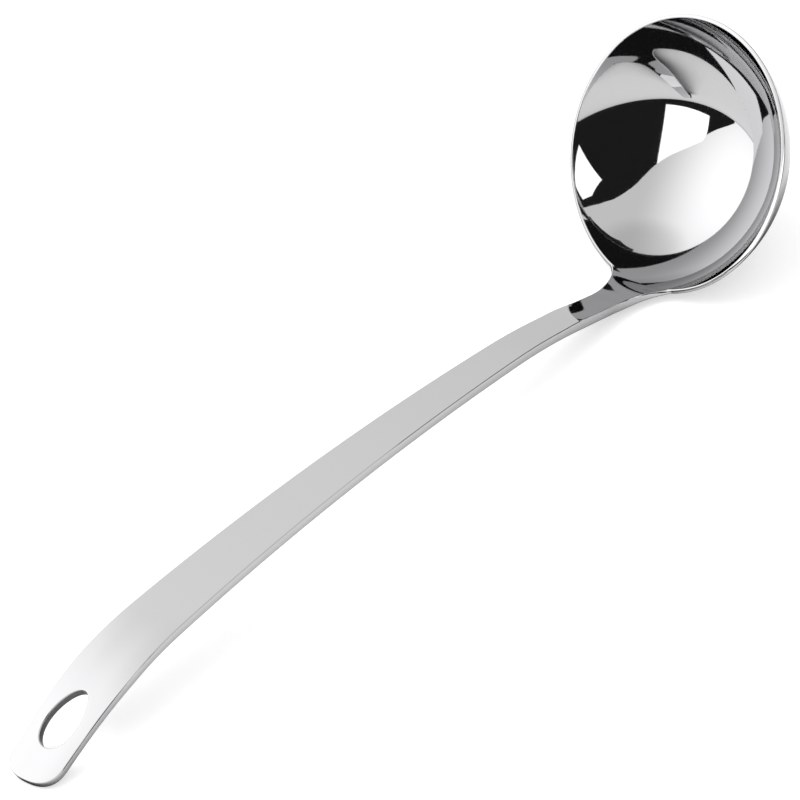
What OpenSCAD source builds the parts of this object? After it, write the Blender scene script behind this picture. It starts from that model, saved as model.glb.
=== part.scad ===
// Soup ladle: a round bowl pressed from thin sheet, with a long flat handle of thicker bar.
// It lies as it does when put down on a table: the bowl rests on the outside of its wall
// and the handle on the lower edge of its end. Millimetres, +Z up, the table is z = 0,
// +X points from the bowl to the handle's end.

/* [Bowl] */
// Diameter of the bowl, inside the rim
bowl_d = 88; // [76:1:104]
// Depth of the bowl, below the rim
bowl_depth = 28; // [24:0.5:34]
// Thickness of the bowl's sheet
bowl_t = 1.5; // [1:0.1:2.5]
// Rounding of the rim's two edges
rim_r = 0.35; // [0.1:0.05:0.45]

/* [Handle] */
// Thickness of the handle
handle_t = 3; // [2.2:0.1:4]
// Width of the neck, where the handle is narrowest
neck_w = 11; // [8:0.2:14]
// Length of the flare between neck and rim
flare_l = 17.5; // [10:0.5:24]
// Width that the flare adds to each side of the neck
flare_w = 10; // [4:0.5:12]
// Width of the grip, where the handle is widest
grip_w = 24.2; // [18:0.2:30]
// Distance of the widest place from the handle's end
grip_back = 46; // [30:1:60]
// Width of the handle at its end
end_w = 22; // [17:0.2:28]
// Length over which the end's corners are rounded
end_round = 9; // [4:0.5:12]
// How square the end is: 2 is an ellipse, higher is squarer
end_square = 2.5; // [2:0.25:5]
// Rounding of the handle's long edges
edge_r = 0.9; // [0.3:0.1:1]

/* [Handle line] */
// Length over which the bowl's wall carries on into the neck and thickens
rise_l = 16; // [10:1:24]
// Slope of the neck, in degrees
neck_a = 67; // [62:0.5:72]
// Length of the straight neck
neck_l = 17.5; // [8:0.5:24]
// Length of the turn from the neck into the shank
turn_l = 28.5; // [16:0.5:40]
// Slope at the foot of the shank, in degrees
shank_a = 58.5; // [54:0.5:62]
// Length of the shank
shank_l = 165; // [120:1:200]
// Slope at the head of the shank, in degrees
grip_a = 49; // [44:0.5:53]
// Length of the bend near the end
hook_l = 47; // [30:1:60]
// Slope of the straight end, in degrees
end_a = 27.5; // [20:0.5:36]
// Length of the straight end
end_l = 22; // [16:1:40]

/* [Hanging hole] */
// Length of the hole
hole_l = 22.5; // [14:0.5:26]
// Width of the hole
hole_w = 13; // [8:0.5:15]
// How much the hole swells towards the handle's end: 0 is an ellipse
hole_egg = 0.18; // [0:0.02:0.3]
// Metal between the hole and the handle's end
hole_edge = 12.5; // [8:0.5:18]

/* [Hidden] */

facets = 180;
rim_facets = 48;
flare_rings = 9;
ring_pitch = 3.4;
across = 10;
corner_steps = 3;
end_rings = 9;
last_ring_a = 87;
egg_step = 6;

// The bowl is a cap of a ball, in a frame with the rim at z = 0 and the handle towards +X
rim = bowl_d / 2;
inner_r = (rim ^ 2 + bowl_depth ^ 2) / (2 * bowl_depth);
outer_r = inner_r + bowl_t;
ball_z = inner_r - bowl_depth;
wall_a = acos(ball_z / inner_r);

// The handle's line in the XZ plane: lengths of its stretches and the slopes between them
LENGTHS = [rise_l, neck_l, turn_l, shank_l, hook_l, end_l];
SLOPES = [wall_a, neck_a, neck_a, shank_a, grip_a, end_a, end_a];
last = len(LENGTHS) - 1;

function sum_to(i) = i == 0 ? 0 : LENGTHS[i - 1] + sum_to(i - 1);
STARTS = [for (i = [0 : last + 1]) sum_to(i)];
handle_l = STARTS[last + 1];

// Step along an arc of length l whose slope turns from a to b
function arc_step(l, a, b) =
    a == b
    ? l * [cos(a), sin(a)]
    : l / ((b - a) * PI / 180) * [sin(b) - sin(a), cos(a) - cos(b)];
function knot(i) = i == 0 ? [rim, 0] : knot(i - 1) + arc_step(LENGTHS[i - 1], SLOPES[i - 1], SLOPES[i]);
KNOTS = [for (i = [0 : last]) knot(i)];

function stretch(s) = max([for (i = [0 : last]) if (i == 0 || s >= STARTS[i]) i]);
function slope(s) =
    let (i = stretch(s))
    s <= 0 ? wall_a : SLOPES[i] + (SLOPES[i + 1] - SLOPES[i]) * (s - STARTS[i]) / LENGTHS[i];
function place(s) = let (i = stretch(s)) KNOTS[i] + arc_step(s - STARTS[i], SLOPES[i], slope(s));

// Half width: the taper of neck and shank, the end with its round corners, and the flare,
// a quarter of an ellipse that leaves the rim along its rounding
grip_s = handle_l - grip_back;
function taper_half(s) =
    s < grip_s
    ? neck_w / 2 + (grip_w - neck_w) / 2 * max(0, s - rise_l) / (grip_s - rise_l)
    : grip_w / 2 + (end_w - grip_w) / 2 * swing((s - grip_s) / grip_back);
function end_share(d) = d >= end_round ? 1 : (1 - (1 - d / end_round) ^ end_square) ^ (1 / end_square);
function flare(s) =
    let (u = 1 - max(0, s + rim_r) / (flare_l + rim_r))
    u > 0 ? flare_w * (1 - sqrt(1 - u ^ 2)) : 0;
function half(s) = taper_half(s) * end_share(handle_l - s) + flare(s);

// From the root to the end of the rise the wall thickens and its edges get rounder
function swing(u) = (1 - cos(180 * max(0, min(1, u)))) / 2;
function thickness(s) = bowl_t + (handle_t - bowl_t) * swing(s / rise_l);
function rounding(s) = rim_r + (edge_r - rim_r) * swing(s / rise_l);

// Near the rim each section bends round the bowl's axis; by the end of the neck it is straight
function bend(s) = max(0, 1 - max(0, s) / (rise_l + neck_l)) ^ 2 / place(s)[0];

// One section of the bar, from the upper edge on the +Y side round to the lower one:
// each point is its distance from the middle and its depth under the top face
function section(s) =
    let (h = half(s), t = thickness(s), r = min(rounding(s), h / 2))
    concat(
        [for (k = [0 : across]) [(h - r) * (1 - 2 * k / across), 0]],
        [for (k = [1 : corner_steps]) let (a = 90 * k / corner_steps) [-(h - r) - r * sin(a), r * cos(a) - r]],
        [for (k = [0 : corner_steps]) let (a = 90 * k / corner_steps) [-(h - r) - r * cos(a), r - t - r * sin(a)]],
        [for (k = [1 : across]) [(h - r) * (2 * k / across - 1), -t]],
        [for (k = [1 : corner_steps]) let (a = 90 * k / corner_steps) [h - r + r * sin(a), r - t - r * cos(a)]],
        [for (k = [0 : corner_steps - 1]) let (a = 90 * k / corner_steps) [h - r + r * cos(a), r * sin(a) - r]]);
function section_point(s, q) =
    let (p = place(s), a = slope(s), k = bend(s), turn = asin(q[0] * k))
    let (sag = k == 0 ? 0 : (1 - cos(turn)) / k)
    [p[0] - sag - q[1] * sin(a) * cos(turn), q[0] - q[1] * sin(a) * sin(turn), p[1] + q[1] * cos(a)];

// The bar starts inside the wall and is cut off where the rim is; no section lies on the cut
body_rings = ceil((handle_l - flare_l) / ring_pitch);
STATIONS = concat(
    [-bowl_t],
    [for (i = [1 : flare_rings]) (flare_l + rim_r) * (1 - cos(90 * i / flare_rings)) - rim_r],
    [for (i = [1 : body_rings]) flare_l + (handle_l - end_round - flare_l) * i / body_rings],
    [for (i = [1 : end_rings]) handle_l - end_round * (1 - sin(last_ring_a * i / end_rings))]);

module bar() {
    rings = [for (s = STATIONS) section(s)];
    n = len(rings[0]);
    points = [for (i = [0 : len(rings) - 1], q = rings[i]) section_point(STATIONS[i], q)];
    skin = [for (i = [0 : len(rings) - 2], k = [0 : n - 1])
        let (a = i * n + k, b = i * n + (k + 1) % n)
        each [[a, a + n, b + n], [a, b + n, b]]];
    ends = [[for (k = [0 : n - 1]) k], [for (k = [0 : n - 1]) len(points) - 1 - k]];
    polyhedron(points, concat(skin, ends));
}

// Outline of the bowl's wall and what it holds, cut off square to the wall at the rim
module filled_outline() {
    intersection() {
        translate([0, ball_z]) circle(outer_r, $fn = facets);
        polygon([[0, -outer_r], [0, 0], [rim, 0], [rim + outer_r * sin(wall_a), -outer_r * cos(wall_a)],
            [rim, -outer_r]]);
    }
}

module edge_cut(r) {
    difference() {
        translate([-r, -r]) square(2 * r);
        translate([r, r]) circle(r, $fn = rim_facets);
        translate([-r, r]) square([3 * r, r]);
        translate([r, -r]) square([r, 3 * r]);
    }
}

module bowl_outline() {
    difference() {
        filled_outline();
        translate([0, ball_z]) circle(inner_r, $fn = facets);
        translate([rim, 0]) rotate(-90 - (90 - wall_a)) mirror([1, 0]) edge_cut(rim_r);
        translate([rim + bowl_t * sin(wall_a), -bowl_t * cos(wall_a)]) rotate(wall_a + 90) edge_cut(rim_r);
    }
}

// All that lies below the rim's cut, which runs on past both faces of the wall
module below_rim() {
    past = 2 * bowl_t * [sin(wall_a), -cos(wall_a)];
    inner = [rim, 0] - past;
    outer = [rim, 0] + past;
    rotate([0, 0, 90]) rotate_extrude($fn = facets)
        polygon([[0, inner[1]], inner, outer, [outer[0], -outer_r], [0, -outer_r]]);
}

// Turn and lift that lay the ladle down on the bowl's wall and the lower edge of its end
end_top = place(handle_l);
end_low = end_top + handle_t * [sin(end_a), -cos(end_a)];
reach = end_low - [0, ball_z];
lay_a = acos(-outer_r / norm(reach)) - atan2(reach[0], reach[1]);
lift = outer_r - ball_z * cos(lay_a);
near_x = ball_z * sin(lay_a) - outer_r;
far_x = end_top[0] * cos(lay_a) + end_top[1] * sin(lay_a);

module laid_down() {
    translate([-(near_x + far_x) / 2, 0, lift]) rotate([0, lay_a, 0]) children();
}

module bowl() {
    color("silver") laid_down() rotate_extrude($fn = facets) bowl_outline();
}

module hanging_hole() {
    middle = handle_l - hole_edge - hole_l / 2;
    translate([place(middle)[0], 0, place(middle)[1]]) rotate([0, -slope(middle), 0])
        linear_extrude(4 * handle_t, center = true)
            polygon([for (a = [0 : egg_step : 359])
                [hole_l / 2 * cos(a), hole_w / 2 * sin(a) * (1 + hole_egg * cos(a))]]);
}

module handle() {
    color("gainsboro") laid_down() difference() {
        bar();
        below_rim();
        hanging_hole();
    }
}

bowl();
handle();
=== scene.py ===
import math

import bmesh
import bpy
from bpy.props import FloatProperty, FloatVectorProperty, PointerProperty
from mathutils import Matrix, Vector


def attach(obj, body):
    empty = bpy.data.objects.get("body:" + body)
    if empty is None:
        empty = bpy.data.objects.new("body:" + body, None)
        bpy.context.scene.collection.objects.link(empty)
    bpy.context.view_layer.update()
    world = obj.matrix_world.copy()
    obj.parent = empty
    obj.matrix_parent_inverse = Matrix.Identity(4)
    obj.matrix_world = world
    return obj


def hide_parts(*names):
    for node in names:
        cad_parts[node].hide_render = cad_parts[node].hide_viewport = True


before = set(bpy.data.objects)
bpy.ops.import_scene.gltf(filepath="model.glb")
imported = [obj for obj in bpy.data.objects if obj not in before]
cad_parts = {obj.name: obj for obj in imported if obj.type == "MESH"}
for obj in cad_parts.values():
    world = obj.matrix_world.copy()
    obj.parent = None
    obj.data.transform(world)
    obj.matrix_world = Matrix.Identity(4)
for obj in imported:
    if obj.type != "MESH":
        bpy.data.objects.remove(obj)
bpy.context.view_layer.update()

bl_info = {
    "name": "Soup ladle",
    "version": (1, 0, 0),
    "blender": (4, 5, 0),
    "location": "3D View > Sidebar > Ladle",
    "description": "A soup ladle in mirror polished steel, lying in a white studio",
    "category": "Add Mesh",
}

BODY = "root"
SHARP_CORNER = math.radians(35)

# mesh of the bowl: steps up its wall and round it, and half of those that the handle's root takes up
BALL_STEPS = 72
ROUND_STEPS = 400
JOINT_STEPS = 18
RIM_SEGMENTS = 4
# a ring of edges below the rim, this many roundings away, keeps the bevel even
RIM_SUPPORT = 1.15

# mesh of the handle: columns across it, and metres between the stations along it
ACROSS = 22
STATION_PITCH = 0.0012
FLARE_STEPS = 18
END_STEPS = 20
EDGE_STEPS = 6
# share of the half width at which the inner columns end, next to the rounded edge
INNER_SHARE = 0.985
# share of the half width that stays flat in the middle of the crowned face
FLAT_SHARE = 0.35
# the hole's block of faces: columns left on each side, metres past the hole's ends, and rings inside it
HOLE_COLUMNS = 3
HOLE_MARGIN = 0.0032
HOLE_RINGS = 6

# the studio, in metres: what the camera looks at, and the point that the cards hang round
VIEW_MIDDLE = Vector((-0.03818, -0.0382, -0.00759))
BOWL_MIDDLE = Vector((-0.126, 0, 0.03))
CURTAIN_DISTANCE = 5.2
REFLECTOR_DISTANCE = 5.0
# a card shows to rays of its own distance, give or take this much
CARD_REACH = 0.065
# how the steel mirrors the table: reach and depth of a painted shadow round the ladle, made by darkening the
# table's colour with ambient occlusion, and a painted brightening of that colour
PAINTED_SHADOW_REACH = 0.035
PAINTED_SHADOW_POWER = 2.5
TABLE_PAINTED_BRIGHTENING = 1.45
# light that the camera sees on the table besides the lit paint
TABLE_GLOW = 0.55
# lean of the bowl's axis, in radians, which its polishing strokes follow
BOWL_LEAN = math.radians(51.7)


def length(name, text, default, low, high):
    """A length property in metres, with its range."""
    return FloatProperty(name=name, description=text, default=default, min=low, max=high, unit="LENGTH",
                         precision=5)


def slope(name, text, degrees, low, high):
    """An angle property, given in degrees."""
    return FloatProperty(name=name, description=text, default=math.radians(degrees), min=math.radians(low),
                         max=math.radians(high), unit="ROTATION", subtype="ANGLE")


def colour(name, text, code):
    """A colour property, given as an sRGB hex value."""
    return FloatVectorProperty(name=name, description=text, default=linear(code), size=3, min=0, max=1,
                               subtype="COLOR")


def linear(code):
    """The linear colour of an sRGB hex value."""
    parts = [int(code[i:i + 2], 16) / 255 for i in (1, 3, 5)]
    return tuple(p / 12.92 if p <= 0.04045 else ((p + 0.055) / 1.055) ** 2.4 for p in parts)


class LadleBowlSettings(bpy.types.PropertyGroup):
    """Sizes of the pressed bowl."""
    diameter: length("Diameter", "Diameter of the bowl inside its rim", 0.088, 0.076, 0.104)
    depth: length("Depth", "Depth of the bowl below its rim", 0.028, 0.024, 0.034)
    wall: length("Wall", "Thickness of the bowl's sheet", 0.0015, 0.001, 0.0025)
    rim_rounding: length("Rim rounding", "Rounding of the rim's two edges", 0.00035, 0.0001, 0.00045)


class LadleHandleSettings(bpy.types.PropertyGroup):
    """Sizes of the handle, its bent line and its hanging hole."""
    thickness: length("Thickness", "Thickness of the bar", 0.003, 0.0022, 0.004)
    neck_width: length("Neck width", "Width where the handle is narrowest", 0.011, 0.008, 0.014)
    flare_length: length("Flare length", "Length of the flare between neck and rim", 0.0175, 0.01, 0.024)
    flare_width: length("Flare width", "Width that the flare adds on each side", 0.010, 0.004, 0.012)
    grip_width: length("Grip width", "Width where the handle is widest", 0.0242, 0.018, 0.030)
    grip_back: length("Grip distance", "Distance of the widest place from the end", 0.046, 0.030, 0.060)
    end_width: length("End width", "Width of the handle at its end", 0.022, 0.017, 0.028)
    end_round: length("End rounding", "Length over which the end's corners are rounded", 0.009, 0.004, 0.012)
    end_square: FloatProperty(name="End squareness", description="2 is an ellipse, higher is squarer",
                              default=2.5, min=2, max=5)
    edge_rounding: length("Edge rounding", "Rounding of the long edges", 0.0004, 0.0002, 0.001)
    crown: length("Crown", "How far the top face falls off to its edges at the end", 0.0006, 0.0, 0.001)
    crown_length: length("Crown length", "Distance from the end where the top face begins to fall off",
                         0.085, 0.03, 0.12)
    weld_swell: length("Weld swell", "Height of the swell left where the weld was ground flush",
                       0.00045, 0.0, 0.0006)
    weld_length: length("Weld length", "Length of that swell, from the rim", 0.013, 0.006, 0.018)
    neck_swell: length("Neck swell", "Height of the shallow wave in the neck, left by the bending",
                       0.0003, 0.0, 0.0005)
    neck_wave: length("Neck wave", "Length of that wave", 0.020, 0.012, 0.026)
    neck_start: length("Neck wave start", "Distance of that wave from the rim", 0.022, 0.014, 0.030)
    rise: length("Rise", "Length over which the wall thickens into the neck", 0.016, 0.010, 0.024)
    neck_slope: slope("Neck slope", "Slope of the neck above the rim's plane", 67, 62, 72)
    neck: length("Neck", "Length of the straight neck", 0.0175, 0.008, 0.024)
    turn: length("Turn", "Length of the turn from neck to shank", 0.0285, 0.016, 0.040)
    shank_slope: slope("Shank slope", "Slope at the foot of the shank", 58.5, 54, 62)
    shank: length("Shank", "Length of the shank", 0.165, 0.120, 0.200)
    grip_slope: slope("Grip slope", "Slope at the head of the shank", 49, 44, 53)
    hook: length("Hook", "Length of the bend near the end", 0.047, 0.030, 0.060)
    end_slope: slope("End slope", "Slope of the straight end", 27.5, 20, 36)
    end: length("End", "Length of the straight end", 0.022, 0.016, 0.040)
    hole_length: length("Hole length", "Length of the hanging hole", 0.0225, 0.014, 0.026)
    hole_width: length("Hole width", "Width of the hanging hole", 0.013, 0.008, 0.015)
    hole_egg: FloatProperty(name="Hole swell", description="How much the hole swells towards the end",
                            default=0.18, min=0, max=0.3)
    hole_edge: length("Hole distance", "Metal between the hole and the end", 0.0125, 0.008, 0.018)
    hole_rounding: length("Hole rounding", "Rounding of the hole's edges", 0.0004, 0.0001, 0.0008)


class LadleFinishSettings(bpy.types.PropertyGroup):
    """Colour and gloss of the steel."""
    steel: colour("Steel", "Colour that the polished steel gives what it mirrors", "#BEBEBF")
    haze: FloatProperty(name="Haze", description="Roughness of the mirror polish", default=0.035,
                        min=0, max=0.3)


class LadleStageSettings(bpy.types.PropertyGroup):
    """View and colours of the studio."""
    azimuth: slope("Azimuth", "Direction of the camera, from +X towards +Y", 51.931, -180, 180)
    elevation: slope("Elevation", "Height of the camera above the table, as an angle", 36.947, 0, 90)
    roll: slope("Roll", "Turn of the camera about its own axis", -13.624, -180, 180)
    view_width: length("View width", "Width of what the camera sees at the ladle", 0.25792, 0.1, 1.0)
    focal: FloatProperty(name="Focal length",
                         description="Focal length in millimetres; long, so lines stay parallel",
                         default=1600, min=50, max=5000)
    floor: colour("Floor", "Colour of the table", "#CFCFCF")
    dark: colour("Dark card", "Colour of the dark cards round the table", "#252525")


def swing(u):
    """A smooth step from 0 to 1."""
    return (1 - math.cos(math.pi * max(0.0, min(1.0, u)))) / 2


def arc_step(run, a, b):
    """Step along an arc of this length whose slope turns from a to b."""
    if abs(b - a) < 1e-9:
        return Vector((run * math.cos(a), run * math.sin(a)))
    radius = run / (b - a)
    return Vector((radius * (math.sin(b) - math.sin(a)), radius * (math.cos(a) - math.cos(b))))


class LadleShape:
    """The ladle's form: a cap of a ball, and a bar along a bent line that leaves its rim.

    It is worked out with the rim at z = 0 and the handle towards +X, and laid_down puts it on the table."""

    def __init__(self, bowl, handle):
        self.bowl, self.handle = bowl, handle
        self.rim = bowl.diameter / 2
        self.inner_r = (self.rim ** 2 + bowl.depth ** 2) / (2 * bowl.depth)
        self.outer_r = self.inner_r + bowl.wall
        self.ball_z = self.inner_r - bowl.depth
        self.wall_a = math.acos(self.ball_z / self.inner_r)
        self.runs = (handle.rise, handle.neck, handle.turn, handle.shank, handle.hook, handle.end)
        self.slopes = (self.wall_a, handle.neck_slope, handle.neck_slope, handle.shank_slope, handle.grip_slope,
                       handle.end_slope, handle.end_slope)
        self.starts, self.knots = [0.0], [Vector((self.rim, 0))]
        for i, run in enumerate(self.runs):
            self.starts.append(self.starts[-1] + run)
            self.knots.append(self.knots[-1] + arc_step(run, self.slopes[i], self.slopes[i + 1]))
        self.total = self.starts[-1]
        self.hole_s = self.total - handle.hole_edge - handle.hole_length / 2
        self.laid_down = self.lay()

    def place(self, s):
        """Point and slope of the middle line, in the XZ plane."""
        i = max(k for k in range(len(self.runs)) if k == 0 or s >= self.starts[k])
        a = self.slopes[i] + (self.slopes[i + 1] - self.slopes[i]) * (s - self.starts[i]) / self.runs[i]
        return self.knots[i] + arc_step(s - self.starts[i], self.slopes[i], a), a

    def lay(self):
        """Turn and lift that lay the ladle down on the bowl's wall and the lower edge of the handle's end."""
        tip, a = self.knots[-1], self.slopes[-1]
        low = tip + self.handle.thickness * Vector((math.sin(a), -math.cos(a)))
        reach = low - Vector((0, self.ball_z))
        turn = math.acos(-self.outer_r / reach.length) - math.atan2(reach[0], reach[1])
        near = self.ball_z * math.sin(turn) - self.outer_r
        far = tip[0] * math.cos(turn) + tip[1] * math.sin(turn)
        lift = self.outer_r - self.ball_z * math.cos(turn)
        return Matrix.Translation((-(near + far) / 2, 0, lift)) @ Matrix.Rotation(turn, 4, "Y")

    def taper(self, s):
        """Half width of neck and grip, without the flare and the round end."""
        h = self.handle
        widest = self.total - h.grip_back
        if s < widest:
            return h.neck_width / 2 + (h.grip_width - h.neck_width) / 2 * max(0, s - h.rise) / (widest - h.rise)
        return h.grip_width / 2 + (h.end_width - h.grip_width) / 2 * swing((s - widest) / h.grip_back)

    def flare(self, s):
        """What the flare at the rim adds to the half width: a quarter of an ellipse."""
        rim_r = self.bowl.rim_rounding
        u = 1 - (s + rim_r) / (self.handle.flare_length + rim_r)
        return self.handle.flare_width * (1 - math.sqrt(1 - u * u)) if u > 0 else 0.0

    def thickness(self, s):
        """Thickness of the bar, which starts at the sheet's own."""
        return self.bowl.wall + (self.handle.thickness - self.bowl.wall) * swing(s / self.handle.rise)

    def rounding(self, s):
        """Rounding of the bar's long edges, which starts at the rim's own."""
        rim_r = self.bowl.rim_rounding
        return rim_r + (self.handle.edge_rounding - rim_r) * swing(s / self.handle.rise)

    def fall(self, s, y):
        """How far the top face lies below a plain bar's: it falls off to the sides near the end, and swells
        twice in the neck."""
        h = self.handle
        aside = max(0.0, min(1.0, abs(y) / max(self.taper(s), 1e-6)) - FLAT_SHARE) / (1 - FLAT_SHARE)
        crown = h.crown * aside ** 2 * swing((s - self.total + h.crown_length) / (h.crown_length - h.hole_edge))
        weld = h.weld_swell * swing(2 * s / h.weld_length) * swing(2 - 2 * s / h.weld_length)
        wave = (s - h.neck_start) / h.neck_wave
        return crown - weld - h.neck_swell * swing(2 * wave) * swing(2 - 2 * wave)

    def outline(self):
        """The bar's side from root to end, as if flat: (along, across) points."""
        h = self.handle
        reach = h.flare_length + self.bowl.rim_rounding
        first = math.acos(1 - self.bowl.rim_rounding / reach)
        points = []
        for i in range(FLARE_STEPS):
            s = reach * (1 - math.cos(first + (math.pi / 2 - first) * i / FLARE_STEPS)) - self.bowl.rim_rounding
            points.append((s, self.taper(s) + self.flare(s)))
        straight = self.total - h.end_round - h.flare_length
        steps = math.ceil(straight / STATION_PITCH)
        for i in range(steps):
            s = h.flare_length + straight * i / steps
            points.append((s, self.taper(s)))
        power = 2 / h.end_square
        for i in range(END_STEPS):
            turn = math.pi / 2 * i / END_STEPS
            s = self.total - h.end_round * (1 - math.sin(turn) ** power)
            points.append((s, self.taper(s) * math.cos(turn) ** power))
        points.append((self.total, 0.0))
        return [Vector(p) for p in points]

    def bar_point(self, s, y, depth):
        """Place on the table of a point of the flat bar, once the bar is bent and joined to the rim."""
        p, a = self.place(s)
        k = max(0, 1 - s / (self.handle.rise + self.handle.neck)) ** 2 / p[0]
        turn = math.asin(y * k)
        sag = (1 - math.cos(turn)) / k if k else 0.0
        return self.laid_down @ Vector((p[0] - sag + depth * math.sin(a) * math.cos(turn),
                                        y + depth * math.sin(a) * math.sin(turn), p[1] - depth * math.cos(a)))


def add_node(tree, kind, inputs=None, **settings):
    """Adds a node, with its settings, and its inputs as values or as the sockets they are linked from."""
    made = tree.nodes.new(kind)
    for key, value in settings.items():
        setattr(made, key, value)
    for key, value in (inputs or {}).items():
        if isinstance(value, bpy.types.NodeSocket):
            tree.links.new(value, made.inputs[key])
        else:
            made.inputs[key].default_value = value
    return made


def polished_steel(name, finish, axis_turn, strokes):
    """Stainless steel with a mirror polish: a neutral grey mirror, with faint haze and fine strokes of the mop.

    axis_turn turns the pattern into the piece's own direction, and strokes is the size in metres of one
    polishing stroke along X, Y and Z there."""
    steel = bpy.data.materials.new(name)
    steel.use_nodes = True
    tree = steel.node_tree
    shader = tree.nodes["Principled BSDF"]
    shader.inputs["Base Color"].default_value = (*finish.steel, 1)
    shader.inputs["Metallic"].default_value = 1.0
    place = add_node(tree, "ShaderNodeTexCoord").outputs["Object"]
    along = add_node(tree, "ShaderNodeMapping", {"Vector": place, "Rotation": axis_turn,
                                                 "Scale": tuple(1 / s for s in strokes)}).outputs["Vector"]
    # strokes of the polishing mop, 0.4 mm wide, drawn coarser than the real ones to show at all
    stroke = add_node(tree, "ShaderNodeTexNoise", {"Vector": along, "Scale": 1.0, "Detail": 3.0,
                                                   "Roughness": 0.6})
    # cloudy haze of the polishing paste, in patches of about 18 mm
    haze = add_node(tree, "ShaderNodeTexNoise", {"Vector": place, "Scale": 55.0, "Detail": 2.0,
                                                 "Roughness": 0.5})
    cloud = add_node(tree, "ShaderNodeMapRange", {
        "Value": haze.outputs["Fac"], "From Min": 0.35, "From Max": 0.7,
        "To Min": finish.haze * 0.7, "To Max": finish.haze * 1.5})
    fine = add_node(tree, "ShaderNodeMapRange", {
        "Value": stroke.outputs["Fac"], "From Min": 0.3, "From Max": 0.75, "To Min": -0.008, "To Max": 0.012})
    rough = add_node(tree, "ShaderNodeMath", {0: cloud.outputs["Result"], 1: fine.outputs["Result"]},
                     operation="ADD")
    bump = add_node(tree, "ShaderNodeBump", {"Height": stroke.outputs["Fac"], "Strength": 0.015,
                                             "Distance": 0.00002})
    tree.links.new(rough.outputs[0], shader.inputs["Roughness"])
    tree.links.new(bump.outputs["Normal"], shader.inputs["Normal"])
    return steel


def finish_piece(bm, name, material, node):
    """Makes the object of a mesh, with smooth faces and sharp corners, and sets it in place of its CAD node."""
    mesh = bpy.data.meshes.new(name)
    bm.to_mesh(mesh)
    bm.free()
    mesh.shade_smooth()
    mesh.set_sharp_from_angle(angle=SHARP_CORNER)
    mesh.materials.append(material)
    piece = bpy.data.objects.new(name, mesh)
    bpy.context.scene.collection.objects.link(piece)
    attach(piece, BODY)
    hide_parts(node)


def grow(bm, rim, place):
    """Extrudes a rim of edges once. rim gives each of its vertices a key; place(key) is the new one's place."""
    edges = {e for v in rim for e in v.link_edges if e.is_boundary and e.other_vert(v) in rim}
    made = bmesh.ops.extrude_edge_only(bm, edges=list(edges))["geom"]
    fresh = {v: rim[next(e.other_vert(v) for e in v.link_edges if e.other_vert(v) in rim)]
             for v in made if isinstance(v, bmesh.types.BMVert)}
    for v, key in fresh.items():
        v.co = place(key)
    return fresh


def bowl_mesh(shape):
    """A profile spun about the bowl's axis: up the inside, square across the rim, down the outside."""
    bm = bmesh.new()
    centre = Vector((0, 0, shape.ball_z))
    support = RIM_SUPPORT * shape.bowl.rim_rounding / shape.inner_r
    up = Vector((0, -1, 0))

    def sweep(vert, angle, steps):
        made = bmesh.ops.spin(bm, geom=[vert], cent=centre, axis=up, dvec=(0, 0, 0), angle=angle, steps=steps)
        return next(g for g in made["geom_last"] if isinstance(g, bmesh.types.BMVert))

    foot = bm.verts.new((0, 0, -shape.bowl.depth))
    edge = sweep(sweep(foot, shape.wall_a - support, BALL_STEPS), support, 1)
    across = bmesh.ops.extrude_vert_indiv(bm, verts=[edge])["verts"][0]
    across.co += (edge.co - centre).normalized() * shape.bowl.wall
    sweep(sweep(across, -support, 1), -(shape.wall_a - support), BALL_STEPS)
    bmesh.ops.spin(bm, geom=bm.verts[:] + bm.edges[:], cent=(0, 0, 0), axis=(0, 0, 1), dvec=(0, 0, 0),
                   angle=2 * math.pi, steps=ROUND_STEPS, use_merge=True)
    bmesh.ops.remove_doubles(bm, verts=bm.verts[:], dist=1e-7)
    bmesh.ops.recalc_face_normals(bm, faces=bm.faces[:])

    # the rim's two edges are rounded, but not where the handle is joined on
    joint = (JOINT_STEPS + 0.2) * 2 * math.pi / ROUND_STEPS
    corners = [(shape.rim, 0.0), (shape.rim + shape.bowl.wall * math.sin(shape.wall_a),
                                  -shape.bowl.wall * math.cos(shape.wall_a))]

    def on_rim(v):
        return any(abs(math.hypot(v.co.x, v.co.y) - r) < 1e-6 and abs(v.co.z - z) < 1e-6 for r, z in corners)

    def clear(v):
        return abs(math.atan2(v.co.y, v.co.x)) > joint

    edges = [e for e in bm.edges if all(on_rim(v) for v in e.verts) and any(clear(v) for v in e.verts)
             and abs(e.verts[0].co.z - e.verts[1].co.z) < 1e-6]
    bmesh.ops.bevel(bm, geom=edges, offset=shape.bowl.rim_rounding, offset_type="OFFSET", segments=RIM_SEGMENTS,
                    profile=0.5, affect="EDGES", clamp_overlap=True, material=-1)
    bm.transform(shape.laid_down)
    return bm


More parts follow.
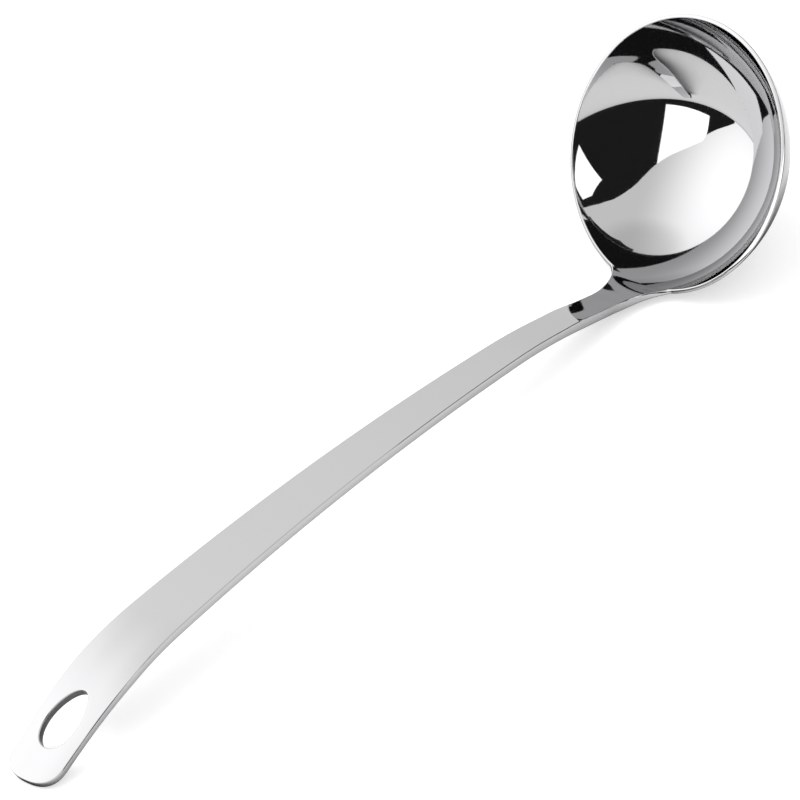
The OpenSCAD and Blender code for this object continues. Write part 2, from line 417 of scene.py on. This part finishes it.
def handle_mesh(shape):
    """A flat plate with its hole and rounded edges, mirrored to full thickness, then bent along its line."""
    h = shape.handle
    outline = shape.outline()
    last = len(outline) - 1

    def outward(i):
        """Width of the rounding at a station: across the bar in the flare, square to the outline further on."""
        if i == last:
            return Vector((h.edge_rounding, 0))
        step = outline[i + 1] - outline[max(i - 1, 0)]
        r = shape.rounding(outline[i][0])
        if outline[i][0] < h.flare_length:
            return Vector((0, r * math.sqrt(1 + (step[1] / step[0]) ** 2)))
        return Vector((-step[1], step[0])).normalized() * r

    roundings = [outward(i) for i in range(last + 1)]
    flat = [outline[i] - roundings[i] for i in range(last + 1)]
    shares = [-1.0] + [INNER_SHARE * (2 * j / (ACROSS - 2) - 1) for j in range(ACROSS - 1)] + [1.0]

    bm = bmesh.new()
    bmesh.ops.create_grid(bm, x_segments=last, y_segments=ACROSS, size=0.5)
    spot = {}
    for v in bm.verts:
        i, j = round((v.co.x + 0.5) * last), round((v.co.y + 0.5) * ACROSS)
        spot[v] = (i, j)
        v.co = (flat[i][0], shares[j] * flat[i][1], 0)

    # the hole: a block of faces gives way to rings that run in to the egg
    reach = h.hole_length / 2 + HOLE_MARGIN
    first_i = max(i for i in range(last) if flat[i][0] <= shape.hole_s - reach)
    last_i = min(i for i in range(last) if flat[i][0] >= shape.hole_s + reach)

    def in_block(i, j):
        return first_i <= i <= last_i and HOLE_COLUMNS <= j <= ACROSS - HOLE_COLUMNS

    inside = [f for f in bm.faces if all(in_block(*spot[v]) for v in f.verts)]
    bmesh.ops.delete(bm, geom=inside, context="FACES")
    spot = {v: key for v, key in spot.items() if v.is_valid}
    ring = {v: (v.co.x - shape.hole_s, v.co.y) for v, key in spot.items() if in_block(*key)}

    def egg(key, out):
        """Point of the hole's edge in the direction of key, moved out into the metal."""
        t = math.atan2(key[1] / h.hole_width, key[0] / h.hole_length)
        point = Vector((h.hole_length / 2 * math.cos(t),
                        h.hole_width / 2 * math.sin(t) * (1 + h.hole_egg * math.cos(t))))
        away = Vector((h.hole_width * (math.cos(t) + h.hole_egg * math.cos(2 * t)),
                       h.hole_length * math.sin(t)))
        return point + away.normalized() * out

    def in_plane(point, depth):
        """Place on the flat plate, whose depth is counted in thicknesses."""
        return Vector((shape.hole_s + point[0], point[1], -depth / shape.thickness(shape.hole_s)))

    for k in range(1, HOLE_RINGS + 1):
        share = k / HOLE_RINGS
        ring = grow(bm, ring, lambda key: in_plane(Vector(key).lerp(egg(key, 1.5 * h.hole_rounding), share), 0))
    for k in range(EDGE_STEPS + 1):
        a = math.pi / 2 * k / EDGE_STEPS
        ring = grow(bm, ring, lambda key: in_plane(egg(key, h.hole_rounding * (1 - math.sin(a))),
                                                   h.hole_rounding * (1 - math.cos(a))))
    grow(bm, ring, lambda key: in_plane(egg(key, 0), h.thickness / 2))

    # the end closes to one point, and the outer edge is rounded down to half the thickness
    tip = [v for v, (i, j) in spot.items() if i == last]
    bmesh.ops.pointmerge(bm, verts=tip, merge_co=(flat[last][0], 0, 0))
    side = {v: (i, -1 if j == 0 else 1) for v, (i, j) in spot.items()
            if v.is_valid and (j in (0, ACROSS) or i == last)}

    def on_side(key, out, depth_share):
        """Point of the rounded edge: out of the face by this share, and down by it, or at half thickness."""
        i, hand = key
        point = flat[i] + roundings[i] * out
        r, t = shape.rounding(outline[i][0]), shape.thickness(outline[i][0])
        return Vector((point[0], hand * point[1], -0.5 if depth_share is None else -r * depth_share / t))

    for k in range(1, EDGE_STEPS + 1):
        a = math.pi / 2 * k / EDGE_STEPS
        side = grow(bm, side, lambda key: on_side(key, math.sin(a), 1 - math.cos(a)))
    grow(bm, side, lambda key: on_side(key, 1, None))

    bmesh.ops.translate(bm, vec=(0, 0, 0.5), verts=bm.verts[:])
    bmesh.ops.mirror(bm, geom=bm.verts[:] + bm.edges[:] + bm.faces[:], matrix=Matrix.Identity(4), axis="Z",
                     merge_dist=1e-6)
    bmesh.ops.holes_fill(bm, edges=[e for e in bm.edges if e.is_boundary], sides=0)
    for v in bm.verts:
        s, y, up = v.co
        v.co = shape.bar_point(s, y, (0.5 - up) * shape.thickness(s) + (0.5 + up) * shape.fall(s, y))
    bmesh.ops.recalc_face_normals(bm, faces=bm.faces[:])
    return bm


def card(name, shine_colour, strength, distance):
    """An even card, white or black, that the bowl mirrors and most of the handle doesn't: it shows only to rays
    that have come about the bowl's distance."""
    material = bpy.data.materials.new(name)
    material.use_nodes = True
    tree = material.node_tree
    tree.nodes.clear()
    path = add_node(tree, "ShaderNodeLightPath")
    shine = add_node(tree, "ShaderNodeEmission", {"Color": (*shine_colour, 1), "Strength": strength})
    clear = add_node(tree, "ShaderNodeBsdfTransparent")
    from_bowl = add_node(tree, "ShaderNodeMath", {0: path.outputs["Ray Length"], 1: distance, 2: CARD_REACH},
                         operation="COMPARE")
    shown = add_node(tree, "ShaderNodeMixShader", {0: from_bowl.outputs[0], 1: clear.outputs[0],
                                                   2: shine.outputs[0]})
    add_node(tree, "ShaderNodeOutputMaterial", {"Surface": shown.outputs[0]})
    return material


def direction(azimuth, down):
    """Unit vector at this azimuth from +X towards +Y, and this many degrees down from straight up."""
    a, d = math.radians(azimuth), math.radians(down)
    return Vector((math.sin(d) * math.cos(a), math.sin(d) * math.sin(a), math.cos(d)))


def curtain(name, material, top, bottom, distance):
    """A curved screen round the bowl, between two edges given as (azimuth, degrees down from straight up)."""
    bm = bmesh.new()
    columns, rows = 48, 6
    bmesh.ops.create_grid(bm, x_segments=columns, y_segments=rows, size=0.5)

    def along(edge, u):
        """Point at the share u of an edge, going by its corners."""
        k = min(int(u * (len(edge) - 1)), len(edge) - 2)
        f = u * (len(edge) - 1) - k
        return [edge[k][i] + (edge[k + 1][i] - edge[k][i]) * f for i in (0, 1)]

    for v in bm.verts:
        high, low = along(top, v.co.x + 0.5), along(bottom, v.co.x + 0.5)
        share = v.co.y + 0.5
        v.co = BOWL_MIDDLE + distance * direction(*(h * share + l * (1 - share) for h, l in zip(high, low)))
    mesh = bpy.data.meshes.new(name)
    bm.to_mesh(mesh)
    bm.free()
    mesh.materials.append(material)
    made = bpy.data.objects.new(name, mesh)
    bpy.context.scene.collection.objects.link(made)
    made.visible_camera = made.visible_diffuse = made.visible_shadow = made.visible_transmission = False


class LADLE_OT_stage(bpy.types.Operator):
    """Sets up the camera, the table, the light and the cards that the steel mirrors"""
    bl_idname = "ladle.stage"
    bl_label = "Studio"

    def execute(self, context):
        stage = context.scene.ladle_stage
        self.camera(context, stage)
        self.floor(context, stage)
        self.world(context)
        self.cards(stage)
        self.lamp(context)
        return {"FINISHED"}

    def camera(self, context, stage):
        a, e = stage.azimuth, stage.elevation
        back = Vector((math.cos(a) * math.cos(e), math.sin(a) * math.cos(e), math.sin(e)))
        level = Vector((-math.sin(a), math.cos(a), 0))
        turned = Matrix((level, back.cross(level), back)).transposed() @ Matrix.Rotation(stage.roll, 3, "Z")
        data = bpy.data.cameras.new("camera")
        data.sensor_width = 36
        data.lens = stage.focal
        data.clip_end = 200
        away = stage.view_width * data.lens / data.sensor_width
        camera = bpy.data.objects.new("camera", data)
        camera.matrix_world = Matrix.LocRotScale(VIEW_MIDDLE + back * away, turned, None)
        context.scene.collection.objects.link(camera)
        context.scene.camera = camera

    def floor(self, context, stage):
        bm = bmesh.new()
        bmesh.ops.create_grid(bm, x_segments=1, y_segments=1, size=9.0)
        mesh = bpy.data.meshes.new("table_top")
        bm.to_mesh(mesh)
        bm.free()
        material = bpy.data.materials.new("matt_white_table")
        material.use_nodes = True
        tree = material.node_tree
        tree.nodes.clear()
        path = add_node(tree, "ShaderNodeLightPath")
        # to glossy rays the table's colour is darkened close round the ladle by ambient occlusion, a painted
        # shadow, and raised above its written value, a painted brightening
        painted_shadow_ao = add_node(tree, "ShaderNodeAmbientOcclusion", {"Distance": PAINTED_SHADOW_REACH}, samples=8)
        painted_shadow_depth = add_node(tree, "ShaderNodeMath", {0: painted_shadow_ao.outputs["AO"], 1: PAINTED_SHADOW_POWER}, operation="POWER")
        # painted brightening: the table's colour multiplied up for the steel's reflection only
        bright = add_node(tree, "ShaderNodeMath", {0: painted_shadow_depth.outputs[0], 1: TABLE_PAINTED_BRIGHTENING}, operation="MULTIPLY")
        # the painted shadow and painted brightening are used for glossy rays only
        shadow = add_node(tree, "ShaderNodeMix", {"Factor": path.outputs["Is Glossy Ray"], "A": 1.0,
                                                  "B": bright.outputs[0]}, data_type="FLOAT")
        paint = add_node(tree, "ShaderNodeVectorMath",
                         {0: tuple(stage.floor), "Scale": shadow.outputs["Result"]}, operation="SCALE")
        matt = add_node(tree, "ShaderNodeBsdfDiffuse", {"Color": paint.outputs[0]})
        # the camera sees the table a little brighter, up to white, with the ladle's shadow on it
        glow = add_node(tree, "ShaderNodeEmission", {"Color": (1, 1, 1, 1), "Strength": TABLE_GLOW})
        both = add_node(tree, "ShaderNodeAddShader", {0: matt.outputs[0], 1: glow.outputs[0]})
        seen = add_node(tree, "ShaderNodeMixShader", {0: path.outputs["Is Camera Ray"], 1: matt.outputs[0],
                                                      2: both.outputs[0]})
        add_node(tree, "ShaderNodeOutputMaterial", {"Surface": seen.outputs[0]})
        mesh.materials.append(material)
        floor = bpy.data.objects.new("table_top", mesh)
        context.scene.collection.objects.link(floor)

    def world(self, context):
        """White to the camera; to the steel a pale room with one broad soft light; plain white to the rest."""
        world = bpy.data.worlds.new("studio")
        context.scene.world = world
        world.use_nodes = True
        tree = world.node_tree
        tree.nodes.clear()
        path = add_node(tree, "ShaderNodeLightPath")
        ray = add_node(tree, "ShaderNodeTexCoord").outputs["Generated"]

        def toward(azimuth, down, low, high, start, stop):
            """Goes from start to stop as the cosine of the ray to this direction goes from low to high."""
            near = add_node(tree, "ShaderNodeVectorMath", {0: ray, 1: direction(azimuth, down)},
                            operation="DOT_PRODUCT")
            return add_node(tree, "ShaderNodeMapRange", {"Value": near.outputs["Value"], "From Min": low,
                                                         "From Max": high, "To Min": start, "To Max": stop},
                            interpolation_type="SMOOTHSTEP").outputs["Result"]

        light = toward(azimuth=-59, down=60, low=0.3, high=1.2, start=1.0, stop=2.18)
        shade = toward(azimuth=-150, down=30, low=0.86, high=0.98, start=1.0, stop=0.8)
        room = add_node(tree, "ShaderNodeMath", {0: light, 1: shade}, operation="MULTIPLY")
        seen = add_node(tree, "ShaderNodeMix", {"Factor": path.outputs["Is Glossy Ray"], "A": 1.0,
                                                "B": room.outputs[0]}, data_type="FLOAT")
        back = add_node(tree, "ShaderNodeBackground", {"Color": (1, 1, 1, 1),
                                                       "Strength": seen.outputs["Result"]})
        add_node(tree, "ShaderNodeOutputWorld", {"Surface": back.outputs[0]})

    def cards(self, stage):
        dark = card("black_cloth", stage.dark, 1.0, CURTAIN_DISTANCE)
        bright = card("white_card", (1, 1, 1), 2.3, REFLECTOR_DISTANCE)
        soft = card("pale_card", (1, 1, 1), 2.2, REFLECTOR_DISTANCE)
        # a black curtain behind the bowl, cut off at a slant, and another beside it
        curtain("curtain_back", dark,
                [(-35, 89), (-29, 84), (-20, 77), (-13, 70.5), (-11, 65), (-1, 57.5), (9, 51.5), (30, 40.5),
                 (45, 33), (59, 28.2), (72, 26.3), (86, 26.1), (97, 27), (108, 29), (123, 36), (135, 45.5)],
                [(-35, 91), (98, 91), (104, 78), (116, 67), (124, 60), (130, 54), (136, 47)],
                CURTAIN_DISTANCE)
        curtain("curtain_side", dark, [(143.8, 41.6), (154, 37), (163.5, 34.1), (183.4, 30), (205, 32.5)],
                [(143.8, 91), (205, 91)], CURTAIN_DISTANCE)
        # two white reflectors in front of the curtains
        curtain("reflector_low", bright, [(30, 40.5), (9, 51.5), (-1, 57.5), (-11, 65), (-13, 70.5)],
                [(21, 86), (6, 85.4), (-13, 84)], REFLECTOR_DISTANCE)
        curtain("reflector_side", soft, [(96.5, 44.5), (118.5, 43.4), (127.7, 48.2)],
                [(94.3, 75.1), (109.3, 63.7), (120.3, 56.3)], REFLECTOR_DISTANCE)

    def lamp(self, context):
        data = bpy.data.lights.new("softbox", "AREA")
        data.shape = "SQUARE"
        data.size = 1.6
        data.energy = 14
        lamp = bpy.data.objects.new("softbox", data)
        lamp.location = (0.3, -0.7, 1.6)
        lamp.rotation_euler = (-lamp.location).to_track_quat("-Z", "Y").to_euler()
        lamp.visible_glossy = False
        context.scene.collection.objects.link(lamp)


class LADLE_OT_bowl(bpy.types.Operator):
    """Makes the pressed round bowl"""
    bl_idname = "ladle.bowl"
    bl_label = "Bowl"

    def execute(self, context):
        scene = context.scene
        shape = LadleShape(scene.ladle_bowl, scene.ladle_handle)
        steel = polished_steel("mirror_polished_steel_bowl", scene.ladle_finish, (0, -BOWL_LEAN, 0),
                               (0.0004, 0.0004, 0.03))
        finish_piece(bowl_mesh(shape), "ladle_bowl", steel, "bowl")
        return {"FINISHED"}


class LADLE_OT_handle(bpy.types.Operator):
    """Makes the flat handle with its bent line and hanging hole"""
    bl_idname = "ladle.handle"
    bl_label = "Handle"

    def execute(self, context):
        scene = context.scene
        shape = LadleShape(scene.ladle_bowl, scene.ladle_handle)
        steel = polished_steel("mirror_polished_steel_handle", scene.ladle_finish, (0, 0, 0),
                               (0.03, 0.0004, 0.03))
        finish_piece(handle_mesh(shape), "ladle_handle", steel, "handle")
        return {"FINISHED"}


class LADLE_PT_panel(bpy.types.Panel):
    """Sizes, finish and studio of the soup ladle"""
    bl_idname = "LADLE_PT_panel"
    bl_label = "Soup ladle"
    bl_space_type = "VIEW_3D"
    bl_region_type = "UI"
    bl_category = "Ladle"

    def draw(self, context):
        for name in SETTINGS:
            box = self.layout.box()
            group = getattr(context.scene, name)
            for key in group.__annotations__:
                box.prop(group, key)
        for operator in OPERATORS:
            self.layout.operator(operator.bl_idname)


SETTINGS = {"ladle_bowl": LadleBowlSettings, "ladle_handle": LadleHandleSettings,
            "ladle_finish": LadleFinishSettings, "ladle_stage": LadleStageSettings}
OPERATORS = (LADLE_OT_stage, LADLE_OT_bowl, LADLE_OT_handle)


def register():
    for cls in (*SETTINGS.values(), *OPERATORS, LADLE_PT_panel):
        bpy.utils.register_class(cls)
    for name, cls in SETTINGS.items():
        setattr(bpy.types.Scene, name, PointerProperty(type=cls))


def unregister():
    for name in SETTINGS:
        delattr(bpy.types.Scene, name)
    for cls in reversed((*SETTINGS.values(), *OPERATORS, LADLE_PT_panel)):
        bpy.utils.unregister_class(cls)


def main():
    register()
    bpy.context.scene.view_settings.view_transform = "Standard"
    bpy.ops.ladle.stage()
    bpy.ops.ladle.bowl()
    bpy.ops.ladle.handle()


if __name__ == "__main__":
    main()
